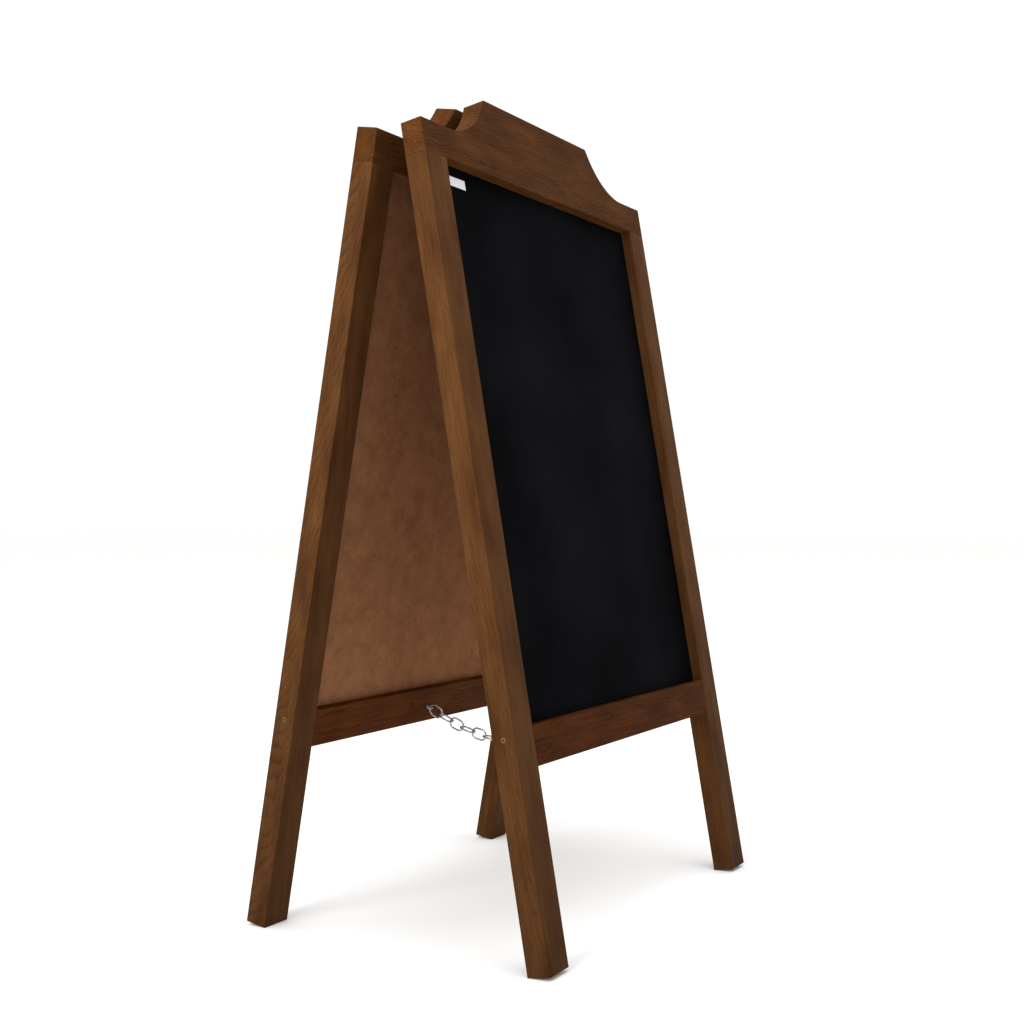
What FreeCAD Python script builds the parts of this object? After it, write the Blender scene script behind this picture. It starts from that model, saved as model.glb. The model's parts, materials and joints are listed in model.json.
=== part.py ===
import FreeCAD, Part
import math
import os
import re
import Sketcher

# A folding sandwich board: two timber frames with chalkboards, hinged together
# at the top of their crowns, and held at their lean by a short chain.
#
# Both frames are drawn once, lying in their own flat frame:
#   X runs across the board, 0 at its middle
#   -Y runs outwards, from the inner face (0) to the face with the chalkboard
#   -Z runs down the frame, from the top of the crown (0) to the feet
# Sketches on the XZ plane have a normal that points outwards, so a distance
# along that normal is a depth into the timber from the inner face.
# The finished object stands on the floor at Z = 0, with the hinge line over
# the origin. All sizes are in millimetres.

SIZES = {
    # timber frame
    "frame_width": 600,
    "frame_length": 1060,
    "stile_width": 45,
    "timber_depth": 30,
    "rail_height": 48,
    "leg_length": 228.5,
    "edge_ease": 1.2,
    "seam_ease": 0.4,
    # crown board on top of the stiles
    "crown_height": 102,
    "shoulder_drop": 61,
    "cove_inset": 60,
    "cove_radius": 108.6,
    "corner_ease": 5,
    # chalkboard in its groove
    "board_thickness": 4,
    "board_depth": 11.5,
    "board_play": 0.1,
    "groove_depth": 7,
    "groove_end_play": 0.5,
    # dowels
    "dowel_diameter": 8,
    "dowel_length": 60,
    "dowel_spacing": 20,
    "dowel_play": 0.05,
    "dowel_end_play": 1,
    "rail_dowel_drop": 33,
    "rail_dowel_in_stile": 20,
    # screws through the stiles into the rail ends
    "rail_screw_diameter": 4,
    "rail_screw_head": 6.4,
    "rail_screw_length": 80,
    "rail_screw_drop": 10.5,
    "screw_play": 0.05,
    "recess_depth": 1.2,
    # butt hinges between the crowns
    "hinge_offset": 62,
    "leaf_length": 60,
    "leaf_drop": 35,
    "leaf_thickness": 2.5,
    "pin_diameter": 7.3,
    "pin_play": 0.05,
    "pin_head": 10,
    "pin_head_height": 1.6,
    "knuckle_play": 0.3,
    "hinge_screw_diameter": 4,
    "hinge_screw_head": 8,
    "hinge_screw_length": 20,
    "hinge_screw_spacing": 21,
    "hinge_screw_drop": 20,
    "hinge_screw_stagger": 7,
    # chain and the two screw eyes that hold it
    "wire": 2.5,
    "link_inner_length": 19.5,
    "link_inner_width": 12,
    "link_play": 0.3,
    "hang_step": 0.075,
    "eye_ring": 11.5,
    "eye_wire": 2,
    "eye_shank": 15,
    "eye_drop": 26.5,
    # blank label on the front chalkboard
    "label_width": 48,
    "label_height": 12,
    "label_thickness": 0.3,
    "label_inset": 10.5,
    "label_drop": 13,
}
KNUCKLES = 5
LINKS = 15

# places that several pieces share, as formulas of the sizes above
HALF = "(frame_width / 2)"
INNER = "(frame_width / 2 - stile_width)"
CENTRE = "(timber_depth / 2)"
RAIL_TOP = "(frame_length - leg_length - rail_height)"
RAIL_LOW = "(frame_length - leg_length)"
GROOVE_NEAR = "(board_depth - board_play)"
GROOVE_FAR = "(board_depth + board_thickness + board_play)"
STILE_MIDDLE = "(frame_width / 2 - stile_width / 2)"
COVE_START = "(frame_width / 2 - cove_inset)"
BARREL = "(pin_diameter / 2 + pin_play + leaf_thickness)"
RAIL_SCREW_LINE = f"-({RAIL_TOP} + rail_screw_drop)"
RAIL_DOWEL_LINE = f"-({RAIL_TOP} + rail_dowel_drop)"
EYE_LINE = f"-({RAIL_TOP} + eye_drop)"

# the origin plane that each working direction is drawn on
PLANES = {"across": "YZ_Plane", "outwards": "XZ_Plane", "up": "XY_Plane"}

doc = FreeCAD.newDocument("SandwichBoard")
sheet = doc.addObject("Spreadsheet::Sheet", "Sizes")
for row, (alias, size) in enumerate(SIZES.items(), start=1):
    sheet.set(f"A{row}", alias)
    sheet.set(f"B{row}", str(size))
    sheet.setAlias(f"B{row}", alias)
doc.recompute()

nodes = []


def bound(formula):
    """Turn a formula of size names into one that reads the sheet's cells."""
    return re.sub(r"[a-z][a-z_]+[a-z]", r"Sizes.\g<0>", str(formula))


def value(formula):
    """Work out a formula of size names as a number."""
    return float(sheet.evalExpression(bound(formula)))


def keep(piece, label, placement=None):
    """Give a sub-part its own name and place, and list it as one of the nodes."""
    piece.Label = label
    if placement is not None:
        piece.Placement = placement
    nodes.append(piece)
    return piece


# ---------------------------------------------------------------- features


def new_body(name):
    return doc.addObject("PartDesign::Body", name)


def new_sketch(body, direction, offset):
    """Open a sketch square to a direction, at an offset along that direction."""
    role = PLANES[direction]
    plane = next(f for f in body.Origin.OriginFeatures if f.Role == role)
    sketch = body.newObject("Sketcher::SketchObject", "Sketch")
    sketch.AttachmentSupport = [(plane, "")]
    sketch.MapMode = "FlatFace"
    sketch.setExpression("AttachmentOffset.Base.z", bound(offset))
    return sketch


def fix(sketch, kind, geometry, end, formula):
    """Hold one end of a curve at a distance from the sketch's origin."""
    number = sketch.addConstraint(
        Sketcher.Constraint(kind, -1, 1, geometry, end, value(formula))
    )
    sketch.setExpression(f"Constraints[{number}]", bound(formula))


def draw_rectangle(sketch, left, low, right, high):
    """Draw a rectangle whose sides stay where the four formulas put them."""
    x0, y0, x1, y1 = (value(f) for f in (left, low, right, high))
    corners = [(x0, y0), (x1, y0), (x1, y1), (x0, y1)]
    points = [FreeCAD.Vector(x, y, 0) for x, y in corners]
    first = sketch.GeometryCount
    for n in range(4):
        sketch.addGeometry(Part.LineSegment(points[n], points[(n + 1) % 4]))
    for n in range(4):
        sketch.addConstraint(
            Sketcher.Constraint("Coincident", first + n, 2, first + (n + 1) % 4, 1)
        )
        level = "Horizontal" if n % 2 == 0 else "Vertical"
        sketch.addConstraint(Sketcher.Constraint(level, first + n))
    fix(sketch, "DistanceX", first, 1, left)
    fix(sketch, "DistanceY", first, 1, low)
    fix(sketch, "DistanceX", first + 2, 1, right)
    fix(sketch, "DistanceY", first + 2, 1, high)


def draw_circle(sketch, x, y, diameter):
    """Draw a circle whose centre and diameter follow the formulas."""
    centre = FreeCAD.Vector(value(x), value(y), 0)
    radius = value(diameter) / 2
    up = FreeCAD.Vector(0, 0, 1)
    number = sketch.addGeometry(Part.Circle(centre, up, radius))
    fix(sketch, "DistanceX", number, 3, x)
    fix(sketch, "DistanceY", number, 3, y)
    size = sketch.addConstraint(Sketcher.Constraint("Diameter", number, 2 * radius))
    sketch.setExpression(f"Constraints[{size}]", bound(diameter))


def draw_outline(sketch, points):
    """Draw a closed outline of straight sides, each corner held by two formulas."""
    count = len(points)
    at = [FreeCAD.Vector(value(x), value(y), 0) for x, y in points]
    for n in range(count):
        sketch.addGeometry(Part.LineSegment(at[n], at[(n + 1) % count]))
    for n in range(count):
        sketch.addConstraint(Sketcher.Constraint("Coincident", n, 2, (n + 1) % count, 1))
        fix(sketch, "DistanceX", n, 1, points[n][0])
        fix(sketch, "DistanceY", n, 1, points[n][1])


def extrude(body, kind, sketch, near, far):
    """Add (Pad) or remove (Pocket) what a sketch sweeps between two offsets."""
    before = body.Tip.Shape.Volume if kind == "Pocket" else 0
    feature = body.newObject(f"PartDesign::{kind}", kind)
    feature.Profile = sketch
    feature.setExpression("Length", bound(f"({far}) - ({near})"))
    body.Tip = feature
    doc.recompute()
    if kind == "Pocket" and not feature.Shape.Volume < before - 1e-6:
        raise RuntimeError(f"{body.Name}: {feature.Name} removes nothing")
    return feature


def add_block(body, direction, sides, near, far):
    sketch = new_sketch(body, direction, near)
    draw_rectangle(sketch, *sides)
    return extrude(body, "Pad", sketch, near, far)


def cut_block(body, direction, sides, near, far):
    sketch = new_sketch(body, direction, far)
    draw_rectangle(sketch, *sides)
    return extrude(body, "Pocket", sketch, near, far)


def bore(body, direction, x, y, diameter, near, far):
    """Drill a round hole between two offsets along a direction."""
    sketch = new_sketch(body, direction, far)
    draw_circle(sketch, x, y, diameter)
    return extrude(body, "Pocket", sketch, near, far)


def names_of(body, kind, test):
    """Name the tip's edges or faces that pass a test."""
    shapes = getattr(body.Tip.Shape, f"{kind}s")
    return [f"{kind}{n}" for n, shape in enumerate(shapes, start=1) if test(shape)]


def ease(body, kind, names, size):
    """Fillet or chamfer the named edges of a body's last feature."""
    before = body.Tip
    feature = body.newObject(f"PartDesign::{kind}", kind)
    feature.Base = (before, names)
    feature.setExpression("Radius" if kind == "Fillet" else "Size", bound(size))
    body.Tip = feature
    doc.recompute()
    return feature


def along(axis):
    """Test for straight edges that run along an axis (0 for X, 1 for Y, 2 for Z)."""
    others = [n for n in range(3) if n != axis]

    def test(edge):
        box = edge.BoundBox
        lengths = (box.XLength, box.YLength, box.ZLength)
        return lengths[axis] > 1e-3 and all(lengths[n] < 1e-3 for n in others)

    return test


def on_plane(axis, offset):
    """Test for faces or edges that lie in the plane at an offset along an axis."""

    def test(shape):
        box = shape.BoundBox
        low = (box.XMin, box.YMin, box.ZMin)[axis]
        high = (box.XMax, box.YMax, box.ZMax)[axis]
        return abs(low - offset) < 1e-4 and abs(high - offset) < 1e-4

    return test


# ------------------------------------------------------------------ timber


def make_stile(name, side, placement):
    """An upright of the frame. side is -1 for the left one and 1 for the right."""
    body = new_body(name)
    outer = f"{side} * {HALF}"
    inner = f"{side} * {INNER}"
    left, right = (outer, inner) if side < 0 else (inner, outer)
    top = "-crown_height"
    add_block(body, "outwards", (left, "-frame_length", right, top), 0, "timber_depth")
    ease(body, "Fillet", names_of(body, "Edge", along(2)), "edge_ease")
    top_face = names_of(body, "Face", on_plane(2, value(top)))
    ease(body, "Chamfer", top_face, "seam_ease")
    # groove for the chalkboard's edge
    bed = f"{side} * ({INNER} + groove_depth)"
    groove = sorted((bed, inner), key=value)
    foot = f"-({RAIL_TOP} + groove_depth)"
    sides = (groove[0], foot, groove[1], top)
    cut_block(body, "outwards", sides, GROOVE_NEAR, GROOVE_FAR)
    # clearance hole and countersink for the rail screw
    hole = "rail_screw_diameter + 2 * screw_play"
    screw_at = (f"-{CENTRE}", RAIL_SCREW_LINE)
    bore(body, "across", *screw_at, hole, left, right)
    rim = names_of(body, "Edge", on_plane(0, value(outer)))
    radius = value(hole) / 2
    rim = [n for n in rim if is_circle(body.Tip.Shape.getElement(n), radius)]
    ease(body, "Chamfer", rim, "(rail_screw_head - rail_screw_diameter) / 2")
    # blind hole for the dowel from the rail's end
    drilled = "dowel_diameter + 2 * dowel_play"
    seat = f"({INNER} + rail_dowel_in_stile + dowel_end_play)"
    near, far = sorted((inner, f"{side} * {seat}"), key=value)
    bore(body, "across", f"-{CENTRE}", RAIL_DOWEL_LINE, drilled, near, far)
    # two blind holes for the crown's dowels
    for step in (-1, 1):
        x = f"{side} * {STILE_MIDDLE} + {step} * dowel_spacing / 2"
        low = "-(crown_height + dowel_length / 2 + dowel_end_play)"
        bore(body, "up", x, f"-{CENTRE}", drilled, low, top)
    return keep(body, name, placement)


def is_circle(edge, radius):
    """Test for a circular edge of a given radius."""
    curve = edge.Curve
    return isinstance(curve, Part.Circle) and abs(curve.Radius - radius) < 1e-4


def draw_crown(sketch):
    """Draw the crown: a flat top, a hollow cove each side, and flat shoulders."""
    half, start = value(HALF), value(COVE_START)
    drop, radius = value("shoulder_drop"), value("cove_radius")
    height = value("crown_height")
    rise = radius - drop
    flat = start - math.sqrt(radius**2 - rise**2)
    turn = math.atan2(-rise, flat - start) % (2 * math.pi)
    down = 1.5 * math.pi
    up = FreeCAD.Vector(0, 0, 1)

    def line(x0, y0, x1, y1):
        start_point, end_point = FreeCAD.Vector(x0, y0, 0), FreeCAD.Vector(x1, y1, 0)
        return sketch.addGeometry(Part.LineSegment(start_point, end_point))

    def arc(x, first, last):
        circle = Part.Circle(FreeCAD.Vector(x, rise, 0), up, radius)
        return sketch.addGeometry(Part.ArcOfCircle(circle, first, last))

    top = line(-flat, 0, flat, 0)
    right_cove = arc(start, turn, down)
    right_shoulder = line(start, -drop, half, -drop)
    right_end = line(half, -drop, half, -height)
    bottom = line(half, -height, -half, -height)
    left_end = line(-half, -height, -half, -drop)
    left_shoulder = line(-half, -drop, -start, -drop)
    left_cove = arc(-start, down, 3 * math.pi - turn)

    for kind, *where in (
        ("Coincident", top, 2, right_cove, 1),
        ("Tangent", right_cove, 2, right_shoulder, 1),
        ("Coincident", right_shoulder, 2, right_end, 1),
        ("Coincident", right_end, 2, bottom, 1),
        ("Coincident", bottom, 2, left_end, 1),
        ("Coincident", left_end, 2, left_shoulder, 1),
        ("Tangent", left_shoulder, 2, left_cove, 1),
        ("Coincident", left_cove, 2, top, 1),
        ("Horizontal", top),
        ("Horizontal", right_shoulder),
        ("Horizontal", bottom),
        ("Horizontal", left_shoulder),
        ("Vertical", right_end),
        ("Vertical", left_end),
    ):
        sketch.addConstraint(Sketcher.Constraint(kind, *where))
    for cove in (right_cove, left_cove):
        number = sketch.addConstraint(Sketcher.Constraint("Radius", cove, radius))
        sketch.setExpression(f"Constraints[{number}]", bound("cove_radius"))
    fix(sketch, "DistanceX", right_end, 2, HALF)
    fix(sketch, "DistanceY", right_end, 2, "-crown_height")
    fix(sketch, "DistanceX", left_end, 1, f"-{HALF}")
    fix(sketch, "DistanceY", right_end, 1, "-shoulder_drop")
    fix(sketch, "DistanceY", left_end, 2, "-shoulder_drop")
    fix(sketch, "DistanceX", right_shoulder, 1, COVE_START)
    fix(sketch, "DistanceX", left_shoulder, 2, f"-{COVE_START}")
    fix(sketch, "DistanceY", top, 1, "0 * crown_height")


def make_crown(name, placement):
    """The shaped board across the top, which sits on both stiles."""
    body = new_body(name)
    sketch = new_sketch(body, "outwards", 0)
    draw_crown(sketch)
    extrude(body, "Pad", sketch, 0, "timber_depth")
    level = value("-crown_height")
    upright = names_of(body, "Edge", lambda e: along(1)(e) and on_plane(2, 0)(e))
    ease(body, "Fillet", upright, "corner_ease")
    outline = names_of(
        body,
        "Edge",
        lambda e: (
            (on_plane(1, 0)(e) or on_plane(1, -value("timber_depth"))(e))
            and not on_plane(2, level)(e)
        ),
    )
    ease(body, "Fillet", outline, "edge_ease")
    bottom = names_of(body, "Face", on_plane(2, level))
    ease(body, "Chamfer", bottom, "seam_ease")
    # groove for the chalkboard's top edge
    bed = f"({INNER} + groove_depth)"
    sides = (f"-{bed}", "-crown_height", bed, "-(crown_height - groove_depth)")
    cut_block(body, "outwards", sides, GROOVE_NEAR, GROOVE_FAR)
    # blind holes for the dowels from the stiles
    drilled = "dowel_diameter + 2 * dowel_play"
    high = "-(crown_height - dowel_length / 2 - dowel_end_play)"
    for side in (-1, 1):
        for step in (-1, 1):
            x = f"{side} * {STILE_MIDDLE} + {step} * dowel_spacing / 2"
            bore(body, "up", x, f"-{CENTRE}", drilled, "-crown_height", high)
    # pilot holes for the hinge screws
    pilot = "hinge_screw_diameter + 2 * screw_play"
    for x, drop in hinge_screw_places():
        depth = "hinge_screw_length - leaf_thickness + screw_play"
        bore(body, "outwards", x, drop, pilot, 0, depth)
    return keep(body, name, placement)


def make_rail(name, placement):
    """The bottom rail between the stiles, under the chalkboard."""
    body = new_body(name)
    sides = (f"-{INNER}", f"-{RAIL_LOW}", INNER, f"-{RAIL_TOP}")
    add_block(body, "outwards", sides, 0, "timber_depth")
    ease(body, "Fillet", names_of(body, "Edge", along(0)), "edge_ease")
    ends = [value(f"-{INNER}"), value(INNER)]
    faces = names_of(body, "Face", lambda f: any(on_plane(0, x)(f) for x in ends))
    ease(body, "Chamfer", faces, "seam_ease")
    bed = f"-({RAIL_TOP} + groove_depth)"
    sides = (f"-{INNER}", bed, INNER, f"-{RAIL_TOP}")
    cut_block(body, "outwards", sides, GROOVE_NEAR, GROOVE_FAR)
    drilled = "dowel_diameter + 2 * dowel_play"
    pilot = "rail_screw_diameter + 2 * screw_play"
    dowel_seat = f"({INNER} + rail_dowel_in_stile - dowel_length - dowel_end_play)"
    screw_seat = f"({HALF} - rail_screw_length - screw_play)"
    for side in (-1, 1):
        face = f"{side} * {INNER}"
        near, far = sorted((face, f"{side} * {dowel_seat}"), key=value)
        bore(body, "across", f"-{CENTRE}", RAIL_DOWEL_LINE, drilled, near, far)
        near, far = sorted((face, f"{side} * {screw_seat}"), key=value)
        bore(body, "across", f"-{CENTRE}", RAIL_SCREW_LINE, pilot, near, far)
    # pilot hole for the chain's screw eye
    pilot = "eye_wire + 2 * screw_play"
    bore(body, "outwards", 0, EYE_LINE, pilot, 0, "eye_shank + screw_play")
    return keep(body, name, placement)


def make_board(name, placement):
    """The chalkboard panel, held on all four edges in the frame's groove."""
    body = new_body(name)
    edge = f"({INNER} + groove_depth - groove_end_play)"
    top = "-(crown_height - groove_depth + groove_end_play)"
    foot = f"-({RAIL_TOP} + groove_depth - groove_end_play)"
    far = "board_depth + board_thickness"
    add_block(body, "outwards", (f"-{edge}", foot, edge, top), "board_depth", far)
    return keep(body, name, placement)


def make_label(name, placement):
    """A small blank label stuck on the front chalkboard's top corner."""
    body = new_body(name)
    left = f"-({INNER} - label_inset)"
    top = "-(crown_height + label_drop)"
    sides = (left, f"{top} - label_height", f"{left} + label_width", top)
    face = "board_depth + board_thickness"
    add_block(body, "outwards", sides, face, f"{face} + label_thickness")
    return keep(body, name, placement)


# ------------------------------------------------------- dowels and screws


def make_dowel(x, y, z, turn):
    """One dowel pin with its lower end at a point. turn is its rotation."""
    dowel = doc.addObject("Part::Cylinder", "Dowel")
    dowel.setExpression("Radius", bound("dowel_diameter / 2"))
    dowel.setExpression("Height", bound("dowel_length"))
    dowel.Placement = FreeCAD.Placement(FreeCAD.Vector(0, 0, 0), turn)
    for axis, formula in zip("xyz", (x, y, z)):
        dowel.setExpression(f"Placement.Base.{axis}", bound(formula))
    return dowel


def make_dowels(name, placement):
    """All the dowels of a frame: two up into the crown and one into the rail,
    at each stile."""
    upright = FreeCAD.Rotation()
    lying = FreeCAD.Rotation(FreeCAD.Vector(0, 1, 0), 90)
    dowels = []
    for side in (-1, 1):
        for step in (-1, 1):
            x = f"{side} * {STILE_MIDDLE} + {step} * dowel_spacing / 2"
            z = "-(crown_height + dowel_length / 2)"
            dowels.append(make_dowel(x, f"-{CENTRE}", z, upright))
        # a third of the rail's dowel is in the stile
        reach = f"({INNER} + rail_dowel_in_stile)"
        start = f"-{reach}" if side < 0 else f"{reach} - dowel_length"
        dowels.append(make_dowel(start, f"-{CENTRE}", RAIL_DOWEL_LINE, lying))
    group = doc.addObject("Part::Compound", name)
    group.Links = dowels
    return keep(group, name, placement)


def make_screw(name, kind):
    """A countersunk wood screw with a cross recess, its head's top at the origin
    and its point down. kind is the start of its size names."""
    body = new_body(name)
    head = f"({kind}_head / 2)"
    shank = f"({kind}_diameter / 2)"
    tip = f"-({kind}_length - {kind}_diameter)"
    profile = [
        ("0", "0"),
        (head, "0"),
        (shank, f"-({head} - {shank})"),
        (shank, tip),
        ("0", f"-{kind}_length"),
    ]
    sketch = new_sketch(body, "outwards", 0)
    draw_outline(sketch, profile)
    turned = body.newObject("PartDesign::Revolution", "Revolution")
    turned.Profile = sketch
    turned.ReferenceAxis = (sketch, ["V_Axis"])
    turned.Angle = 360
    body.Tip = turned
    doc.recompute()
    arm = f"({kind}_head * 0.3)"
    slot = f"({kind}_head * 0.08)"
    for wide, high in ((arm, slot), (slot, arm)):
        sides = (f"-{wide}", f"-{high}", wide, high)
        cut_block(body, "up", sides, "-recess_depth", "0")
    return body


def make_screws(name, master, places, placement):
    """A group of equal screws, each a linked copy of one master screw."""
    copies = []
    for place in places:
        copy = doc.addObject("App::Link", "Screw")
        copy.LinkedObject = master
        copy.LinkTransform = False
        copy.Placement = place
        copies.append(copy)
    group = doc.addObject("Part::Compound", name)
    group.Links = copies
    return keep(group, name, placement)


def rail_screw_places():
    """Where the two rail screws sit, their heads flush with the stiles' sides."""
    places = []
    for side in (-1, 1):
        x = side * value(HALF)
        at = FreeCAD.Vector(x, -value(CENTRE), value(RAIL_SCREW_LINE))
        turn = FreeCAD.Rotation(FreeCAD.Vector(0, 1, 0), 90 * side)
        places.append(FreeCAD.Placement(at, turn))
    return places


# ------------------------------------------------------------------ hinges


def hinge_screw_places():
    """Formulas for the across and upward places of every hinge screw."""
    for side in (-1, 1):
        for step in (-1, 0, 1):
            x = f"{side} * hinge_offset + {step} * hinge_screw_spacing"
            drop = "hinge_screw_drop"
            if step == 0:
                drop = "(hinge_screw_drop + hinge_screw_stagger)"
            yield x, f"-{drop}"


def knuckle_ends(side, number):
    """Formulas for where one knuckle starts and ends across the board."""
    start = f"({side} * hinge_offset - leaf_length / 2)"
    pitch = f"leaf_length / {KNUCKLES}"
    near = f"({start} + {number} * {pitch} + knuckle_play / 2)"
    far = f"({start} + {number + 1} * {pitch} - knuckle_play / 2)"
    return near, far


def make_leaf(name, side, own, placement):
    """One leaf of a butt hinge on a crown's inner face, its strip rolled around
    the pin at the knuckles whose numbers are in own."""
    body = new_body(name)
    left = f"{side} * hinge_offset - leaf_length / 2"
    right = f"{side} * hinge_offset + leaf_length / 2"
    zero = "0"
    add_block(body, "outwards", (left, "-leaf_drop", right, zero), "-leaf_thickness", zero)
    # room for the other leaf's knuckles
    for number in range(KNUCKLES):
        if number in own:
            continue
        near, far = knuckle_ends(side, number)
        sides = (
            f"{near} - knuckle_play",
            f"-({BARREL} + knuckle_play)",
            f"{far} + knuckle_play",
            "leaf_thickness",
        )
        cut_block(body, "outwards", sides, "-leaf_thickness", zero)
    for number in own:
        near, far = knuckle_ends(side, number)
        sketch = new_sketch(body, "across", near)
        draw_circle(sketch, BARREL, zero, f"2 * {BARREL}")
        extrude(body, "Pad", sketch, near, far)
    bore(body, "across", BARREL, zero, "pin_diameter + 2 * pin_play", left, right)
    # countersunk holes for the three screws
    hole = "hinge_screw_diameter + 2 * screw_play"
    for x, drop in hinge_screw_places():
        if value(x) * side > 0:
            bore(body, "outwards", x, drop, hole, "-leaf_thickness", zero)
    radius = value(hole) / 2
    rims = names_of(
        body,
        "Edge",
        lambda e: on_plane(1, value("leaf_thickness"))(e) and is_circle(e, radius),
    )
    ease(body, "Chamfer", rims, "(hinge_screw_head - hinge_screw_diameter) / 2")
    return keep(body, name, placement)


def make_hinge_pin(name, side):
    """The pin through a hinge's knuckles, with a head at each end."""
    body = new_body(name)
    shank = "(pin_diameter / 2)"
    head = "(pin_head / 2)"
    end = "(leaf_length / 2 + knuckle_play / 2)"
    tip = f"({end} + pin_head_height)"
    zero = "0"
    profile = [
        (zero, f"-{tip}"),
        (head, f"-{tip}"),
        (head, f"-{end}"),
        (shank, f"-{end}"),
        (shank, end),
        (head, end),
        (head, tip),
        (zero, tip),
    ]
    sketch = new_sketch(body, "outwards", 0)
    draw_outline(sketch, profile)
    turned = body.newObject("PartDesign::Revolution", "Revolution")
    turned.Profile = sketch
    turned.ReferenceAxis = (sketch, ["V_Axis"])
    turned.Angle = 360
    body.Tip = turned
    doc.recompute()
    rims = names_of(
        body,
        "Edge",
        lambda e: is_circle(e, value(head)) and abs(abs(e.BoundBox.ZMin) - value(tip)) < 1e-3,
    )
    ease(body, "Fillet", rims, "pin_head_height / 2")
    at = FreeCAD.Vector(side * value("hinge_offset"), 0, pin_height)
    turn = FreeCAD.Rotation(FreeCAD.Vector(0, 1, 0), 90)
    return keep(body, name, FreeCAD.Placement(at, turn))


def hinge_screws_at():
    """Where the hinge screws sit, their heads flush with the leaves."""
    turn = FreeCAD.Rotation(FreeCAD.Vector(1, 0, 0), -90)
    places = []
    for x, drop in hinge_screw_places():
        at = FreeCAD.Vector(value(x), value("leaf_thickness"), value(drop))
        places.append(FreeCAD.Placement(at, turn))
    return places


# ------------------------------------------------------------------- chain


def add_primitive(kind, sizes, base, turn=None):
    """A Part primitive whose sizes and place follow formulas."""
    piece = doc.addObject(f"Part::{kind}", kind)
    piece.Placement = FreeCAD.Placement(FreeCAD.Vector(0, 0, 0), turn or FreeCAD.Rotation())
    for name, formula in sizes.items():
        piece.setExpression(name, bound(formula))
    for axis, formula in zip("xyz", base):
        piece.setExpression(f"Placement.Base.{axis}", bound(formula))
    return piece


def fuse(pieces, name):
    union = doc.addObject("Part::MultiFuse", name)
    union.Shapes = pieces
    union.Refine = True
    return union


def make_link(name, placement):
    """A welded oval link, long along Y and wide along X."""
    bend = "(link_inner_width + wire) / 2"
    half = "(link_inner_length - link_inner_width) / 2"
    zero = "0"
    pieces = []
    for side in (-1, 1):
        ends = {"Radius1": bend, "Radius2": "wire / 2", "Angle3": "180"}
        turn = FreeCAD.Rotation(FreeCAD.Vector(0, 0, 1), 90 - 90 * side)
        pieces.append(add_primitive("Torus", ends, (zero, f"{side} * {half}", zero), turn))
        straight = {"Radius": "wire / 2", "Height": f"2 * {half}"}
        turn = FreeCAD.Rotation(FreeCAD.Vector(1, 0, 0), -90)
        base = (f"{side} * {bend}", f"-{half}", zero)
        pieces.append(add_primitive("Cylinder", straight, base, turn))
    return keep(fuse(pieces, name), name, placement)


def make_eye(name, placement):
    """A screw eye in the middle of a rail, its ring level with the floor side to
    side and its shank driven into the timber."""
    zero = "0"
    ring = {"Radius1": "(eye_ring - eye_wire) / 2", "Radius2": "eye_wire / 2"}
    shank = {"Radius": "eye_wire / 2", "Height": "eye_shank + eye_wire / 2"}
    turn = FreeCAD.Rotation(FreeCAD.Vector(1, 0, 0), -90)
    pieces = [
        add_primitive("Torus", ring, (zero, "eye_ring / 2", EYE_LINE)),
        add_primitive("Cylinder", shank, (zero, "-eye_shank", EYE_LINE), turn),
    ]
    return keep(fuse(pieces, name), name, placement)


def hang_angles():
    """How far each link hangs below level, in radians, from the front eye to the
    rear one. In a hanging chain the slope grows by one equal step per link away
    from the middle."""
    middle = (LINKS + 1) / 2
    step = value("hang_step")
    return [math.atan(step * (middle - number)) for number in range(1, LINKS + 1)]


def pivot_distances():
    """The distance between the two points that each link turns about. Upright
    links turn about the wires of their level neighbours, inside their own ends,
    and level links turn about their own end wires."""
    inside = value("link_inner_length - 2 * link_play - wire")
    outside = value("link_inner_length + wire")
    return [outside if number % 2 == 0 else inside for number in range(1, LINKS + 1)]


# ---------------------------------------------------------------- assembly

# The chain sets the lean: its ends are as far apart as its links reach.
reach = sum(
    length * math.cos(angle) for length, angle in zip(pivot_distances(), hang_angles())
)
eye_stand_off = value(f"eye_ring - eye_wire / 2 - {BARREL}")
eye_radius = math.hypot(value(EYE_LINE), eye_stand_off)
lean = math.asin(reach / 2 / eye_radius) + math.atan2(eye_stand_off, -value(EYE_LINE))

# The front frame leans back about the hinge line, with its feet on the floor.
lean_back = FreeCAD.Rotation(FreeCAD.Vector(1, 0, 0), -math.degrees(lean))
foot_height = value("frame_length") * math.cos(lean)
hinge_back = value(BARREL) * math.cos(lean)
pin_height = foot_height - value(BARREL) * math.sin(lean)
front = FreeCAD.Placement(FreeCAD.Vector(0, -hinge_back, foot_height), lean_back)
half_turn = FreeCAD.Placement(
    FreeCAD.Vector(0, 0, 0), FreeCAD.Rotation(FreeCAD.Vector(0, 0, 1), 180)
)
rear = half_turn * front

rail_screw = make_screw("RailScrewMaster", "rail_screw")
hinge_screw = make_screw("HingeScrewMaster", "hinge_screw")

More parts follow.
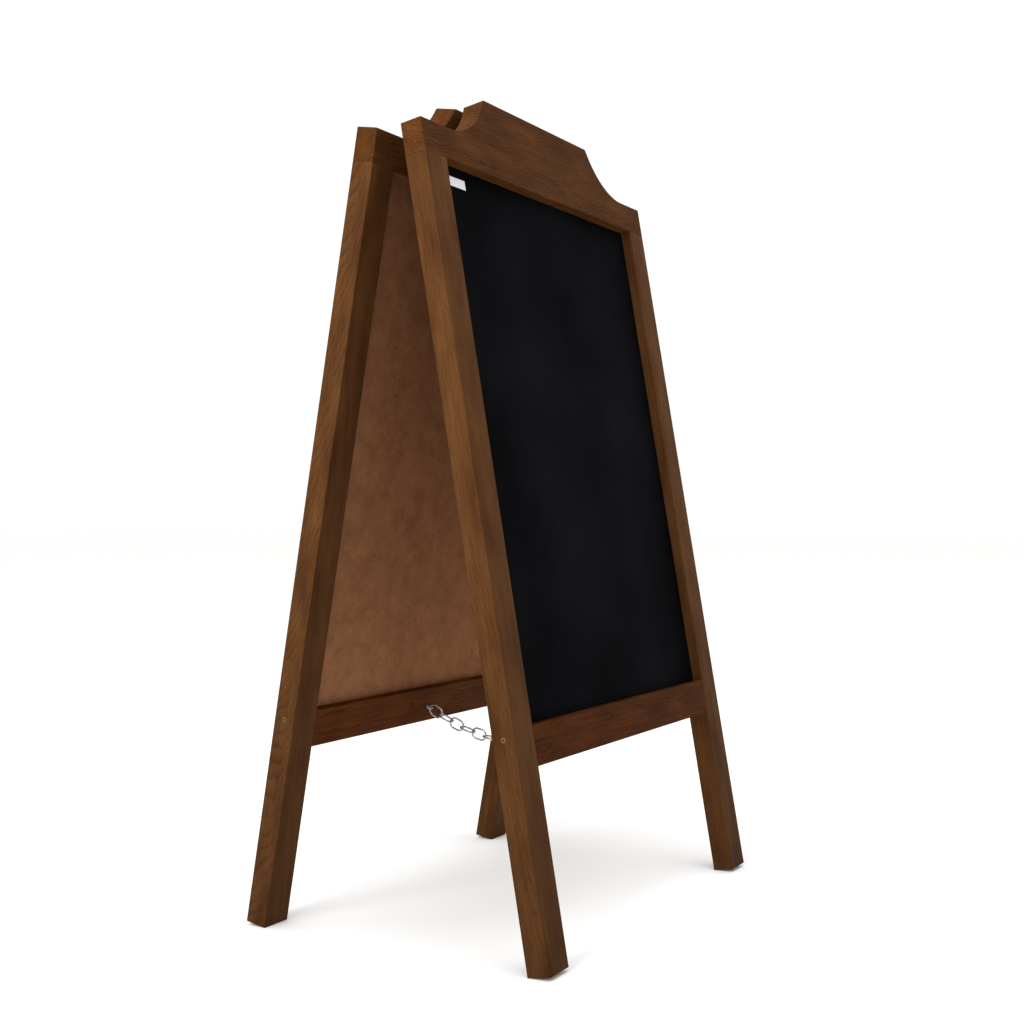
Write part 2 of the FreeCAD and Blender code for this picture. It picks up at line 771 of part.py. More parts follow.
# The rear frame is the front one turned about. Left and right in every name are
# the object's own, seen from the front, so they swap sides in the rear's flat frame.
halves = (("front", front, 1, (0, 2, 4)), ("rear", rear, -1, (1, 3)))
for frame, place, turned, own in halves:
    for hand, side in (("left", -turned), ("right", turned)):
        make_stile(f"{frame}_{hand}_stile", side, place)
        make_leaf(f"{frame}_{hand}_hinge_leaf", side, own, place)
    make_crown(f"{frame}_crown", place)
    make_rail(f"{frame}_bottom_rail", place)
    make_board(f"{frame}_chalkboard", place)
    make_dowels(f"{frame}_dowels", place)
    make_screws(f"{frame}_rail_screws", rail_screw, rail_screw_places(), place)
    make_screws(f"{frame}_hinge_screws", hinge_screw, hinge_screws_at(), place)
    make_eye(f"{frame}_screw_eye", place)
make_label("blank_label", front)
for hand, side in (("left", -1), ("right", 1)):
    make_hinge_pin(f"{hand}_hinge_pin", side)

# The links hang one after another, upright and level by turns.
pivot = front.multVec(FreeCAD.Vector(0, value("eye_ring - eye_wire / 2"), value(EYE_LINE)))
pivots = [pivot]
for number, (length, angle) in enumerate(zip(pivot_distances(), hang_angles()), start=1):
    step = FreeCAD.Vector(0, length * math.cos(angle), -length * math.sin(angle))
    tilt = FreeCAD.Rotation(FreeCAD.Vector(1, 0, 0), -math.degrees(angle))
    roll = FreeCAD.Rotation(FreeCAD.Vector(0, 1, 0), 90 * (number % 2))
    make_link(f"chain_link_{number:02d}", FreeCAD.Placement(pivot + step / 2, tilt * roll))
    pivot = pivot + step
    pivots.append(pivot)

doc.recompute()

# ------------------------------------------------------------------ output

for item in doc.Objects:
    if "Invalid" in item.State or "Error" in item.State:
        raise RuntimeError(f"{item.Label} failed: {item.State}")
os.makedirs("parts", exist_ok=True)
for piece in nodes:
    shape = Part.getShape(piece)
    if shape.isNull() or not shape.isValid():
        raise RuntimeError(f"{piece.Label} has no valid shape")
for piece in nodes:
    Part.getShape(piece).exportStep(f"parts/{piece.Label}.step")
    shape = piece.Shape
    print(f"{piece.Label:26s} {len(shape.Solids)} solid(s) {shape.Volume:12.1f} mm3")
print(f"lean {math.degrees(lean):.5f} degrees, pin at {pin_height:.4f} mm")
print("chain pivots", [(round(p.y, 4), round(p.z, 4)) for p in pivots])
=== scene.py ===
import json
import math

import bpy
from mathutils import Euler, Matrix, Vector

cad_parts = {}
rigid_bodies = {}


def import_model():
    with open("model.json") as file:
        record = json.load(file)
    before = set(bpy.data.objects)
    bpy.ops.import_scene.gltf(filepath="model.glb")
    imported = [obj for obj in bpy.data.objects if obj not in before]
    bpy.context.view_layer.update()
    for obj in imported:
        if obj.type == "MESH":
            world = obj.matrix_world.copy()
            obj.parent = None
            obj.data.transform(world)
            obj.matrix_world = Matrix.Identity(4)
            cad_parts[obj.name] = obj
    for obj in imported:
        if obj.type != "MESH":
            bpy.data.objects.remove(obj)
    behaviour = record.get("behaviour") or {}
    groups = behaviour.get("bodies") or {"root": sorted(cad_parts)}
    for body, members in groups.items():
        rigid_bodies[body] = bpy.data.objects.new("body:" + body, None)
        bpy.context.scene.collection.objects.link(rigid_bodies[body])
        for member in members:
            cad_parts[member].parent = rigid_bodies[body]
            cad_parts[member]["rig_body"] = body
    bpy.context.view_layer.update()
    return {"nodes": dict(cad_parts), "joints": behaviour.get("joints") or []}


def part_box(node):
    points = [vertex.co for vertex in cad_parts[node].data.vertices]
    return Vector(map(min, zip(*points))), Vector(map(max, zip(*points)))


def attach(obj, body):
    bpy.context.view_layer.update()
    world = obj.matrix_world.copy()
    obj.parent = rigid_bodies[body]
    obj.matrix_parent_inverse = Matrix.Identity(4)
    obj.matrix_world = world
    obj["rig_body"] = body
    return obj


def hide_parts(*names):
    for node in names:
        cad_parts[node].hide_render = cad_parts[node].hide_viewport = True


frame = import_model()

MM = 0.001

# Sizes of the timber work, in metres. Each frame is also thought of lying flat:
# X across it, -Y outwards from its inner face, -Z down from the crown's top.
LENGTH = 1060 * MM
DEPTH = 30 * MM
BOARD_MIDDLE = 13.5 * MM
BARREL = 6.2 * MM
# the chain's wire, links and hang, as the steepness that each link adds
WIRE = 2.5 * MM
LINK_WIDTH = 12 * MM
LINK_LENGTH = 19.5 * MM
LINKS = 15
HANG_STEP = 0.075
# the screw eyes: outside of the ring, wire, shank behind the rail's face, and height
EYE = 11.5 * MM
EYE_WIRE = 2 * MM
SHANK = 15 * MM
EYE_LINE = -810 * MM
# how finely bent wire is drawn: points along it, and sides around it
LINK_STEP = 0.8 * MM
LINK_BEND = 14
LINK_SIDES = 14
RING_POINTS = 56
RING_SIDES = 18
SHANK_POINTS = 120
SHANK_SIDES = 24
# the butt weld of a link: its girth against the wire's, and half its length
WELD_GIRTH = 1.13
WELD_HALF = 1.1 * MM
# the screw eye's thread: pitch and height
THREAD_PITCH = 1.1 * MM
THREAD_HEIGHT = 0.16 * MM

# the lean follows from the height of the hinge pin over the feet
pin = Vector(frame["joints"][0]["pos_m"])
lean = math.acos(pin.z / math.hypot(LENGTH, BARREL)) - math.atan2(BARREL, LENGTH)
flat_to_front = Matrix.Translation((0, -BARREL * math.cos(lean), LENGTH * math.cos(lean)))
flat_to_front = flat_to_front @ Matrix.Rotation(-lean, 4, "X")
FLAT = {"front": flat_to_front, "rear": Matrix.Rotation(math.pi, 4, "Z") @ flat_to_front}


def body_that_holds(node_name):
    """The body that carries a node of the frame."""
    return frame["nodes"][node_name]["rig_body"]


# ------------------------------------------------------------ shader helpers

MATHS = "ShaderNodeMath"
VECTORS = "ShaderNodeVectorMath"
BAND = "ShaderNodeValToRGB"
MIX = "ShaderNodeMix"
COVER = {"data_type": "RGBA", "blend_type": "MIX"}
GLAZE = {"data_type": "RGBA", "blend_type": "MULTIPLY"}


def paint(code):
    """An sRGB hex value as the linear colour that a shader works with."""
    parts = [int(code[i : i + 2], 16) / 255 for i in (1, 3, 5)]
    return [p / 12.92 if p <= 0.04045 else ((p + 0.055) / 1.055) ** 2.4 for p in parts] + [1.0]


def add(tree, kind, *inputs, stops=(), **settings):
    """Adds one node and returns its first live output. inputs are values or
    links for its live sockets in order, or a dict of them by socket name.
    settings are the node's own properties. stops are the places and the
    colours or greys of a colour band."""
    node = tree.nodes.new(kind)
    for name, setting in settings.items():
        setattr(node, name, setting)
    live = [socket for socket in node.inputs if socket.enabled]
    wanted = []
    for socket, given in zip(live, inputs):
        if isinstance(given, dict):
            wanted += [(next(s for s in live if s.name == name), g) for name, g in given.items()]
        else:
            wanted.append((socket, given))
    for socket, given in wanted:
        if isinstance(given, bpy.types.NodeSocket):
            tree.links.new(given, socket)
        else:
            socket.default_value = given
    if stops:
        band = node.color_ramp.elements
        while len(band) < len(stops):
            band.new(0.5)
        for element, (place, tone) in zip(band, stops):
            element.position = place
            element.color = [tone] * 3 + [1] if isinstance(tone, (int, float)) else tone
    return next((output for output in node.outputs if output.enabled), None)


def new_finish(name):
    """An empty material and its node tree."""
    material = bpy.data.materials.new(name)
    material.use_nodes = True
    material.node_tree.nodes.clear()
    return material, material.node_tree


def lay_on(tree, surface):
    """Closes a finish: the shader takes the surface's colour, gloss and relief."""
    shader = add(tree, "ShaderNodeBsdfPrincipled", surface)
    add(tree, "ShaderNodeOutputMaterial", shader)


def own_place(tree):
    """Where a point of a piece lies."""
    return add(tree, "ShaderNodeTexCoord").node.outputs["Object"]


def laid_out(tree, matrix):
    """Where a point of a piece lies once the piece is carried through a matrix."""
    place, turn = matrix.to_translation(), matrix.to_euler("XYZ")
    return add(tree, "ShaderNodeMapping", own_place(tree), place, turn)


def cloud(tree, place, across_mm, along_mm, detail=3.0, seed=0.0, rough=0.5):
    """Noise that is across_mm wide and along_mm long, its length along Z."""
    size = (1000 / across_mm, 1000 / across_mm, 1000 / along_mm)
    shift = (seed, seed * 0.7, seed * 1.3)
    stretched = add(tree, "ShaderNodeMapping", {"Vector": place, "Location": shift, "Scale": size})
    return add(tree, "ShaderNodeTexNoise", stretched, 1.0, detail, rough)


# ------------------------------------------------------------------- timber


def stained_softwood(name, frame_side, runs, pith, tree_leans, tones, seed, ring_mm, waves_mm,
                     wave_long, blotch, depth, edge_light=1.0):
    """Planed pine under a dark oak water stain and a satin lacquer. The rings are
    cylinders about the tree's pith, cut by the piece's faces, so they show as
    close streaks on one face and wavy arches on the next. The stain sinks into
    soft spring wood in blotches and leaves the fine fibres as lines. Painted
    shade darkens the wood towards the feet and on the outer and inner faces,
    and painted light lightens the edges between them.

    pith is the tree's middle across the grain, in mm, and tree_leans its axis
    in degrees. waves_mm and wave_long are the rings' waves, blotch and depth
    how far the stain and the rings show, and the last the painted light on the edges."""
    material, tree = new_finish(name)
    # grain along Z: a piece that runs across the frame is stood up first
    stand = Matrix.Rotation(math.radians(90), 4, "Y") if runs == "across" else Matrix()
    tilt = Euler([math.radians(a) for a in tree_leans] + [0], "XYZ").to_matrix().to_4x4()
    shift = Matrix.Translation((-pith[0] * MM, -pith[1] * MM, 0))
    grain = laid_out(tree, tilt @ shift @ stand @ FLAT[frame_side].inverted())
    dark, middle, light = [paint(t) for t in tones]

    # the rings: distance from the pith, bent by slow and by quick waves
    cross = add(tree, VECTORS, grain, (1, 1, 0), operation="MULTIPLY")
    distance = add(tree, VECTORS, cross, operation="LENGTH")
    slow = cloud(tree, grain, 90, 420, 2, seed)
    quick = cloud(tree, grain, 14, wave_long, 2, seed + 3)
    bent = add(tree, MATHS, slow, 14 * MM, distance, operation="MULTIPLY_ADD")
    waved = add(tree, MATHS, quick, waves_mm * 2 * MM, bent, operation="MULTIPLY_ADD")
    rings = add(tree, MATHS, waved, 1 / (ring_mm * MM), operation="MULTIPLY")
    phase = add(tree, MATHS, rings, operation="FRACT")
    # spring wood darkens slowly towards the thin hard line of summer wood
    ring = add(tree, BAND, phase,
               stops=((0.0, 0.15), (0.5, 0.35), (0.82, 1.0), (0.93, 0.85), (1.0, 0.15)))

    # real fibres are 0.05 mm wide: these are 0.9 mm, the finest that still show
    fibre = cloud(tree, grain, 0.9, 24, 2, seed + 5, 0.6)
    strand = cloud(tree, grain, 3.2, 120, 3, seed + 8, 0.6)
    soak = cloud(tree, grain, 26, 90, 3, seed + 11)
    pores = cloud(tree, grain, 0.8, 7, 1, seed + 17, 0.4)

    soaked = add(tree, BAND, soak, stops=((0.30, dark), (0.52, middle), (0.74, light)))
    colour = add(tree, MIX, blotch, middle, soaked, **COVER)
    # the rings come and go, as the stain takes them unevenly
    patches = cloud(tree, grain, 18, 60, 3, seed + 21, 0.6)
    uneven = add(tree, BAND, patches, stops=((0.35, 0.3), (0.65, 1.35)))
    shown = add(tree, MATHS, ring, depth, operation="MULTIPLY")
    shown = add(tree, MATHS, shown, uneven, operation="MULTIPLY")
    colour = add(tree, MIX, shown, colour, dark, **COVER)
    streak = add(tree, BAND, strand, stops=((0.32, 0.76), (0.68, 1.16)))
    colour = add(tree, MIX, 0.7, colour, streak, **GLAZE)
    thread = add(tree, BAND, fibre, stops=((0.30, 0.86), (0.70, 1.10)))
    colour = add(tree, MIX, 0.6, colour, thread, **GLAZE)
    fleck = add(tree, BAND, pores, stops=((0.60, 0.0), (0.70, 1.0)))
    fleck = add(tree, MATHS, fleck, 0.28, operation="MULTIPLY")
    colour = add(tree, MIX, fleck, colour, dark, **COVER)

    # painted shade: the wood is painted darker towards the feet, for the light that falls off low
    # down
    flat = laid_out(tree, FLAT[frame_side].inverted())
    _, inwards, up = add(tree, "ShaderNodeSeparateXYZ", flat).node.outputs
    height = add(tree, "ShaderNodeMapRange", up, -LENGTH, -550 * MM)
    low_shade = add(tree, BAND, height, stops=((0.0, 0.72), (1.0, 1.0)))
    colour = add(tree, MIX, 1.0, colour, low_shade, **GLAZE)
    # painted light and shade: the outer and inner faces are painted darker than the edges between
    # them, and the edges take the painted light that the last argument gives
    face = add(tree, "ShaderNodeMapRange", inwards, -DEPTH, 0.0)
    face_shade = add(tree, BAND, face, stops=((0.0, 0.88), (0.02, 0.88), (0.05, edge_light), (0.95, edge_light),
                                        (0.98, 0.98), (1.0, 0.98)))
    colour = add(tree, MIX, 1.0, colour, face_shade, **GLAZE)

    # the thin coat hardly mirrors, and is glossier over the hard lines than over
    # the open fibres
    gloss = add(tree, BAND, fibre, stops=((0.25, 0.50), (0.75, 0.64)))
    relief = add(tree, MATHS, ring, 0.5, fibre, operation="MULTIPLY_ADD")
    bump = add(tree, "ShaderNodeBump", {"Strength": 0.35, "Distance": 0.15 * MM, "Height": relief})
    lay_on(tree, {"Base Color": colour, "Roughness": gloss, "Specular IOR Level": 0.02,
                  "Normal": bump})
    return material


def bare_beech(name):
    """Turned beech dowel, unfinished: pale, even, with short dark flecks."""
    material, tree = new_finish(name)
    grain = cloud(tree, own_place(tree), 1.5, 9, 2, 2)
    colour = add(tree, BAND, grain, stops=((0.35, paint("#b08a5c")), (0.7, paint("#cfae80"))))
    rough = add(tree, BAND, grain, stops=((0.3, 0.6), (0.7, 0.75)))
    lay_on(tree, {"Base Color": colour, "Roughness": rough})
    return material


def board_finish(name, frame_side, seed):
    """Hardboard with rolled matt chalkboard paint on its outer face. The paint
    keeps a faint orange-peel and old chalk haze; the bare back is pressed wood
    fibre, mottled, with odd dark bark specks."""
    material, tree = new_finish(name)
    place = laid_out(tree, FLAT[frame_side].inverted())
    across, inwards, up = add(tree, "ShaderNodeSeparateXYZ", place).node.outputs
    painted = add(tree, MATHS, inwards, -BOARD_MIDDLE, operation="LESS_THAN")

    haze = cloud(tree, place, 150, 150, 3, seed)
    peel = cloud(tree, place, 3, 3, 2, seed + 2)
    black = add(tree, BAND, haze, stops=((0.3, paint("#060608")), (0.7, paint("#0f0f12"))))
    stipple = add(tree, BAND, peel, stops=((0.3, 0.85), (0.7, 1.15)))
    black = add(tree, MIX, 0.5, black, stipple, **GLAZE)
    # painted shade: the paint is darker next to the frame all round, and a little lighter in the
    # middle, where a painted sheen lies
    off_middle = add(tree, MATHS, across, operation="ABSOLUTE")
    border_shade = add(tree, BAND, off_middle, stops=((0.14, 1.08), (0.26, 0.74)))
    down = add(tree, MATHS, up, -1, operation="MULTIPLY")
    end_shade = add(tree, BAND, down, stops=((0.10, 0.72), (0.24, 1.0), (0.60, 1.0), (0.78, 0.86)))
    black = add(tree, MIX, 1.0, black, border_shade, **GLAZE)
    black = add(tree, MIX, 1.0, black, end_shade, **GLAZE)

    mottle = cloud(tree, place, 24, 24, 4, seed + 4, 0.6)
    fibre = cloud(tree, place, 5, 5, 3, seed + 6, 0.6)
    brown = add(tree, BAND, mottle, stops=((0.3, paint("#7f563b")), (0.5, paint("#895e41")),
                                           (0.7, paint("#906547"))))
    matted = add(tree, BAND, fibre, stops=((0.3, 0.86), (0.7, 1.12)))
    brown = add(tree, MIX, 0.6, brown, matted, **GLAZE)
    # bark specks 1 to 2 mm across, about 24 mm apart, in half of the places
    bark = add(tree, "ShaderNodeTexVoronoi", {"Vector": place, "Scale": 1000 / 24}).node
    speck = add(tree, BAND, bark.outputs["Distance"], stops=((0.04, 1.0), (0.10, 0.0)))
    chance = add(tree, "ShaderNodeSeparateColor", bark.outputs["Color"])
    chosen = add(tree, MATHS, chance, 0.45, operation="GREATER_THAN")
    speck = add(tree, MATHS, speck, chosen, operation="MULTIPLY")
    speck = add(tree, MATHS, speck, 0.55, operation="MULTIPLY")
    brown = add(tree, MIX, speck, brown, paint("#3a2416"), **COVER)

    colour = add(tree, MIX, painted, brown, black, **COVER)
    rough = add(tree, BAND, painted, stops=((0.0, 0.82), (1.0, 0.7)))
    bump = add(tree, "ShaderNodeBump", {"Strength": 0.25, "Distance": 0.1 * MM, "Height": peel})
    lay_on(tree, {"Base Color": colour, "Roughness": rough, "Specular IOR Level": 0.008,
                  "Normal": bump})
    return material


# --------------------------------------------------------- metals and paper


def plated_steel(name, dull, bright, rough, cloud_mm=4):
    """Steel wire or strip, barrel plated and passivated: bright, with the
    plating's faint cloudiness and fine tumbling scratches."""
    material, tree = new_finish(name)
    place = own_place(tree)
    cloudy = cloud(tree, place, cloud_mm, cloud_mm, 3, 1)
    scratch = cloud(tree, place, 0.4, 3, 2, 6)
    colour = add(tree, BAND, cloudy, stops=((0.3, paint(dull)), (0.7, paint(bright))))
    worn = add(tree, MIX, 0.5, cloudy, scratch, **COVER)
    gloss = add(tree, BAND, worn, stops=((0.3, rough * 0.75), (0.7, rough * 1.3)))
    bump = add(tree, "ShaderNodeBump", {"Strength": 0.15, "Distance": 0.05 * MM, "Height": scratch})
    lay_on(tree, {"Base Color": colour, "Roughness": gloss, "Metallic": 1.0, "Normal": bump})
    return material


def label_paper(name):
    """Plain white paper label, uncoated: matt, with a faint fibre."""
    material, tree = new_finish(name)
    fibre = cloud(tree, own_place(tree), 0.8, 3, 3, 3)
    colour = add(tree, BAND, fibre, stops=((0.3, paint("#c9c9cb")), (0.7, paint("#dcdcde"))))
    rough = add(tree, BAND, fibre, stops=((0.3, 0.7), (0.7, 0.82)))
    lay_on(tree, {"Base Color": colour, "Roughness": rough, "Specular IOR Level": 0.2})
    return material


# ------------------------------------------------------- finish of each node

# dark, middle and light stain
SIDES = ("#371e0d", "#57371d", "#694625")
CROWNS = ("#301a0b", "#533115", "#6e431f")
FRONT_RAIL = ("#2e1404", "#4e2708", "#67370f")
REAR_RAIL = ("#371a07", "#5c310f", "#784418")

# frame side, way of the grain, pith, tree's lean, stain, seed; then the rings'
# spacing, their waves and the waves' length in mm; then blotch, depth, and the
# painted light on the edges
timbers = {
    "front left stile": ("front", "along", (-190, -52), (0.4, 2.4), SIDES, 11.3,
                         1.5, 1.8, 30, 0.5, 0.35),
    "front right stile": ("front", "along", (360, 20), (-0.7, -0.9), SIDES, 23.9,
                          1.9, 1.8, 30, 0.5, 0.35),
    "rear left stile": ("rear", "along", (200, -36), (0.3, -3.6), SIDES, 37.1,
                        1.3, 0.7, 40, 0.5, 0.45),
    "rear right stile": ("rear", "along", (-350, 10), (0.8, 1.1), SIDES, 41.7,
                         1.9, 1.8, 30, 0.5, 0.35),
    "front crown": ("front", "across", (-205, 62), (1.2, -1.0), CROWNS, 5.2,
                    4.2, 7.0, 32, 0.35, 0.6, 1.14),
    "rear crown": ("rear", "across", (-195, 66), (-1.2, 1.0), CROWNS, 59.4,
                   4.2, 7.0, 32, 0.35, 0.6, 1.1),
    "front bottom rail": ("front", "across", (-890, 50), (1.0, -0.8), FRONT_RAIL, 67.8,
                          4.4, 8.0, 60, 0.5, 0.6),
    "rear bottom rail": ("rear", "across", (-885, -70), (-1.0, 0.8), REAR_RAIL, 73.6,
                         4.4, 8.0, 60, 0.5, 0.6),
}
finishes = {
    piece.replace(" ", "_"): stained_softwood(f"stained pine, {piece}", *grain)
    for piece, grain in timbers.items()
}
finishes["front_chalkboard"] = board_finish("chalkboard paint on hardboard, front", "front", 4.0)
finishes["rear_chalkboard"] = board_finish("chalkboard paint on hardboard, rear", "rear", 9.0)
finishes["blank_label"] = label_paper("white paper label")
beech = bare_beech("bare beech dowel")
bright_zinc = plated_steel("bright zinc plated chain steel", "#8e9092", "#bcbec0", 0.34)
hinge_zinc = plated_steel("zinc plated hinge strip", "#a3a5a7", "#c6c8ca", 0.34, 7)
screw_zinc = plated_steel("zinc plated screw steel", "#9c9ea0", "#c0c2c4", 0.32)
yellow_screw = plated_steel("yellow passivated screw steel", "#5c4e30", "#7c6b46", 0.5)
hardware = {
    "_dowels": beech,
    "_rail_screws": yellow_screw,
    "_hinge_screws": screw_zinc,
    "_hinge_leaf": hinge_zinc,
    "_hinge_pin": hinge_zinc,
    "_screw_eye": bright_zinc,
}
for name, node in frame["nodes"].items():
    for ending, metal_or_beech in hardware.items():
        if name.endswith(ending):
            finishes[name] = metal_or_beech
    if name.startswith("chain_link_"):
        finishes[name] = bright_zinc
    node.data.materials.clear()
    node.data.materials.append(finishes[name])


# ------------------------------------------------------ chain and screw eyes


def new_tree(name, sizes):
    """An empty Geometry Nodes tree with a geometry input and named sizes, and
    the sockets that give them."""
    tree = bpy.data.node_groups.new(name, "GeometryNodeTree")
    sockets = tree.interface
    sockets.new_socket("Geometry", in_out="INPUT", socket_type="NodeSocketGeometry")
    for size in sizes:
        sockets.new_socket(size, in_out="INPUT", socket_type="NodeSocketFloat")
    sockets.new_socket("Geometry", in_out="OUTPUT", socket_type="NodeSocketGeometry")
    given = tree.nodes.new("NodeGroupInput")
    return tree, {s.name: s for s in given.outputs if s.name}


def placed(tree, points, piece, material):
    """Stands a copy of a piece on every point, turned as the point's turn
    attribute says, makes the copies real and gives them their finish."""
    turn = add(tree, "GeometryNodeInputNamedAttribute", "turn", data_type="FLOAT_VECTOR")
    copies = add(tree, "GeometryNodeInstanceOnPoints",
                 {"Points": points, "Instance": piece, "Rotation": turn})
    real = add(tree, "GeometryNodeRealizeInstances", copies)
    real = add(tree, "GeometryNodeSetMaterial", {"Geometry": real, "Material": material})
    add(tree, "NodeGroupOutput", real)


def link_tree():
    """Bends one welded link from wire and hangs a copy on every point."""
    sizes = {"Wire": WIRE, "Inner width": LINK_WIDTH, "Inner length": LINK_LENGTH,
             "Weld": WELD_GIRTH}
    tree, given = new_tree("welded links", sizes)
    wide = add(tree, MATHS, given["Inner width"], given["Wire"], operation="ADD")
    long = add(tree, MATHS, given["Inner length"], given["Wire"], operation="ADD")
    oval = add(tree, "GeometryNodeCurvePrimitiveQuadrilateral", wide, long, mode="RECTANGLE")
    # a hair under half the width, so that the two bends don't meet
    bend = add(tree, MATHS, wide, 0.4999, operation="MULTIPLY")
    oval = add(tree, "GeometryNodeFilletCurve", oval, LINK_BEND, bend, mode="POLY")
    oval = add(tree, "GeometryNodeResampleCurve", {"Curve": oval, "Length": LINK_STEP},
               mode="LENGTH")
    # the butt weld in the middle of one long side stands a little proud
    side, along, _ = add(
        tree, "ShaderNodeSeparateXYZ", add(tree, "GeometryNodeInputPosition")).node.outputs
    off_middle = add(tree, MATHS, along, operation="ABSOLUTE")
    near = add(tree, MATHS, off_middle, WELD_HALF, operation="LESS_THAN")
    one_side = add(tree, MATHS, side, 0, operation="GREATER_THAN")
    at_weld = add(tree, MATHS, near, one_side, operation="MULTIPLY")
    extra = add(tree, MATHS, given["Weld"], 1.0, operation="SUBTRACT")
    swell = add(tree, MATHS, at_weld, extra, operation="MULTIPLY")
    girth = add(tree, MATHS, swell, 1.0, operation="ADD")
    radius = add(tree, MATHS, given["Wire"], 0.5, operation="MULTIPLY")
    section = add(tree, "GeometryNodeCurvePrimitiveCircle", LINK_SIDES, radius, mode="RADIUS")
    link = add(tree, "GeometryNodeCurveToMesh", oval, section, girth)
    link = add(tree, "GeometryNodeSetShadeSmooth", link)
    placed(tree, given["Geometry"], link, bright_zinc)
    return tree, sizes


def eye_tree():
    """Bends a screw eye from wire: a closed ring, and a shank with a rolled
    wood-screw thread all along it."""
    sizes = {"Wire": EYE_WIRE, "Ring": EYE, "Shank": SHANK, "Pitch": THREAD_PITCH,
             "Thread": THREAD_HEIGHT}
    tree, given = new_tree("screw eye", sizes)
    radius = add(tree, MATHS, given["Wire"], 0.5, operation="MULTIPLY")
    # the ring: a level circle that rests on the rail's face
    middle_line = add(tree, MATHS, given["Ring"], given["Wire"], operation="SUBTRACT")
    bend = add(tree, MATHS, middle_line, 0.5, operation="MULTIPLY")
    circle = add(tree, "GeometryNodeCurvePrimitiveCircle", RING_POINTS, bend, mode="RADIUS")
    section = add(tree, "GeometryNodeCurvePrimitiveCircle", RING_SIDES, radius, mode="RADIUS")
    ring = add(tree, "GeometryNodeCurveToMesh", circle, section)
    stand_off = add(tree, MATHS, given["Ring"], 0.5, operation="MULTIPLY")
    stand_off = add(tree, "ShaderNodeCombineXYZ", {"Y": stand_off})
    ring = add(tree, "GeometryNodeTransform", ring, stand_off)
    # the shank: a fine tube whose skin is pushed out along a helix
    tip = add(tree, MATHS, given["Shank"], -1, operation="MULTIPLY")
    tip = add(tree, "ShaderNodeCombineXYZ", {"Y": tip})
    line = add(tree, "GeometryNodeCurvePrimitiveLine", (0, 0, 0), tip, mode="POINTS")
    line = add(tree, "GeometryNodeResampleCurve", {"Curve": line, "Count": SHANK_POINTS},
               mode="COUNT")
    root = add(tree, MATHS, radius, given["Thread"], operation="SUBTRACT")
    slim = add(tree, "GeometryNodeCurvePrimitiveCircle", SHANK_SIDES, root, mode="RADIUS")
    tube = add(tree, "GeometryNodeCurveToMesh",
               {"Curve": line, "Profile Curve": slim, "Fill Caps": True})
    x, y, z = add(
        tree, "ShaderNodeSeparateXYZ", add(tree, "GeometryNodeInputPosition")).node.outputs
    angle = add(tree, MATHS, z, x, operation="ARCTAN2")
    around = add(tree, MATHS, angle, 2 * math.pi, operation="DIVIDE")
    along = add(tree, MATHS, y, given["Pitch"], operation="DIVIDE")
    helix = add(tree, MATHS, along, around, operation="ADD")
    # 40 whole turns more keep the helix's count above nought
    helix = add(tree, MATHS, helix, 40, operation="ADD")
    wave = add(tree, MATHS, helix, 0.5, operation="PINGPONG")
    wave = add(tree, MATHS, wave, 2, operation="MULTIPLY")
    lift = add(tree, MATHS, wave, given["Thread"], operation="MULTIPLY")
    outwards = add(tree, "ShaderNodeCombineXYZ", {"X": x, "Z": z})
    outwards = add(tree, VECTORS, outwards, operation="NORMALIZE")
    push = add(tree, VECTORS, outwards, lift, operation="SCALE")
    tube = add(tree, "GeometryNodeSetPosition", {"Geometry": tube, "Offset": push})
    eye = add(tree, "GeometryNodeJoinGeometry", tube)
    tree.links.new(ring, eye.node.inputs[0])
    eye = add(tree, "GeometryNodeSetShadeSmooth", eye)
    placed(tree, given["Geometry"], eye, bright_zinc)
    return tree, sizes


def grown(name, tree, sizes, points, turns):
    """Runs a tree on a set of turned points and returns a piece with a plain mesh."""
    seed = bpy.data.meshes.new(name + "_points")
    seed.from_pydata([tuple(p) for p in points], [], [])
    attribute = seed.attributes.new("turn", "FLOAT_VECTOR", "POINT")
    for item, turn in zip(attribute.data, turns):
        item.vector = turn
    holder = bpy.data.objects.new(name + "_points", seed)
    bpy.context.scene.collection.objects.link(holder)
    modifier = holder.modifiers.new("grow", "NODES")
    modifier.node_group = tree
    for socket in tree.interface.items_tree:
        if socket.in_out == "INPUT" and socket.name in sizes:
            modifier[socket.identifier] = sizes[socket.name]
    deps = bpy.context.evaluated_depsgraph_get()
    mesh = bpy.data.meshes.new_from_object(holder.evaluated_get(deps))
    mesh.name = name
    holder.modifiers.remove(modifier)
    bpy.data.objects.remove(holder)
    piece = bpy.data.objects.new(name, mesh)
    bpy.context.scene.collection.objects.link(piece)
    return piece


links_tree, link_sizes = link_tree()
by_body = {}
for number in range(1, LINKS + 1):
    node = f"chain_link_{number:02d}"
    low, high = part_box(node)
    slope = math.atan(HANG_STEP * ((LINKS + 1) / 2 - number))
    # a link lies flat along Y; upright ones are rolled a quarter turn first
    rolled = Matrix.Rotation(math.radians(90 if number % 2 else 0), 3, "Y")
    turn = (Matrix.Rotation(-slope, 3, "X") @ rolled).to_euler("XYZ")
    by_body.setdefault(body_that_holds(node), []).append((node, (low + high) / 2, turn))
for body, hung in by_body.items():
    nodes, middles, turns = zip(*hung)
    piece = grown(f"welded_links_{body}", links_tree, link_sizes, middles, turns)
    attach(piece, body)
    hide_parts(*nodes)

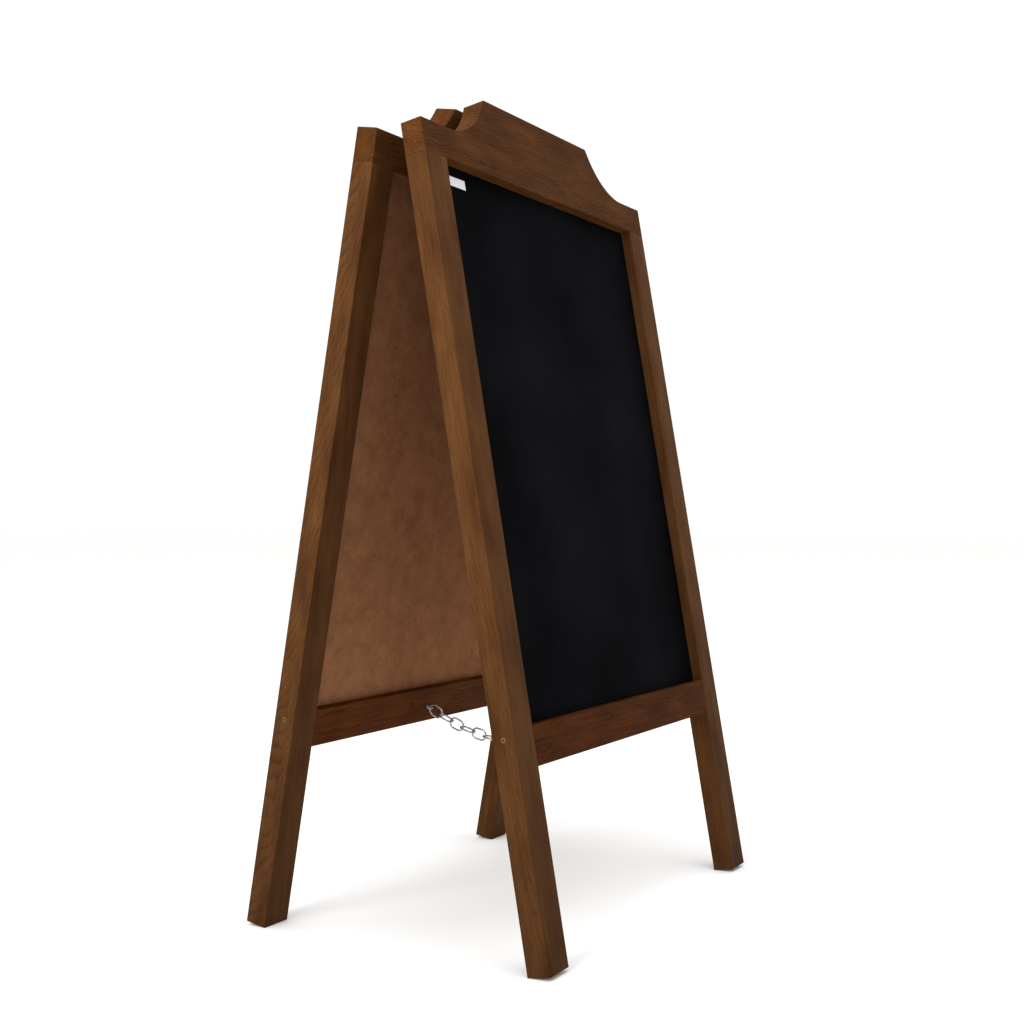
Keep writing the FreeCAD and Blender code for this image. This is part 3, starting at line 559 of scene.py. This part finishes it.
# each eye stands on the inner face of its rail, at half the board's width
driven_eye, eye_sizes = eye_tree()
for side, lying in FLAT.items():
    foot = lying @ Vector((0, 0, EYE_LINE))
    facing = lying.to_euler("XYZ")
    piece = grown(f"{side}_threaded_eye", driven_eye, eye_sizes, [foot], [facing])
    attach(piece, body_that_holds(f"{side}_screw_eye"))
    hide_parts(f"{side}_screw_eye")


# ------------------------------------------------------- floor, light, camera

FLOOR_HALF = 30
floor_mesh = bpy.data.meshes.new("floor")
corners = [(x * FLOOR_HALF, y * FLOOR_HALF, 0) for x, y in ((-1, -1), (1, -1), (1, 1), (-1, 1))]
floor_mesh.from_pydata(corners, [], [(0, 1, 2, 3)])
floor = bpy.data.objects.new("floor", floor_mesh)
bpy.context.scene.collection.objects.link(floor)
pale, tree = new_finish("pale studio floor")
lay_on(tree, {"Base Color": paint("#fafaf9"), "Roughness": 0.9, "Specular IOR Level": 0.1})
floor_mesh.materials.append(pale)

world = bpy.data.worlds.new("soft studio")
world.use_nodes = True
studio = world.node_tree.nodes["Background"].inputs
studio["Color"].default_value = (1, 1, 1, 1)
studio["Strength"].default_value = 1.04
bpy.context.scene.world = world


def soft_box(name, at, target, size, power):
    """A large square light that faces its target."""
    light = bpy.data.lights.new(name, "AREA")
    light.size = size
    light.energy = power
    lamp = bpy.data.objects.new(name, light)
    lamp.location = at
    lamp.rotation_euler = (Vector(target) - Vector(at)).to_track_quat("-Z", "Y").to_euler()
    bpy.context.scene.collection.objects.link(lamp)


soft_box("key", (-3.4, 0.3, 2.2), (0, 0, 0.6), 1.8, 75)
soft_box("top", (-0.6, -1.0, 4.0), (0, 0, 0.5), 3.0, 40)

lens = bpy.data.cameras.new("camera")
lens.sensor_width = 36
lens.lens = 49.52
camera = bpy.data.objects.new("camera", lens)
camera.location = (-1.6767, -0.9690, 0.5231)
camera.rotation_euler = Euler([math.radians(a) for a in (90.02, -0.02, -59.87)], "XYZ")
bpy.context.scene.collection.objects.link(camera)
bpy.context.scene.camera = camera
bpy.context.scene.view_settings.view_transform = "Standard"
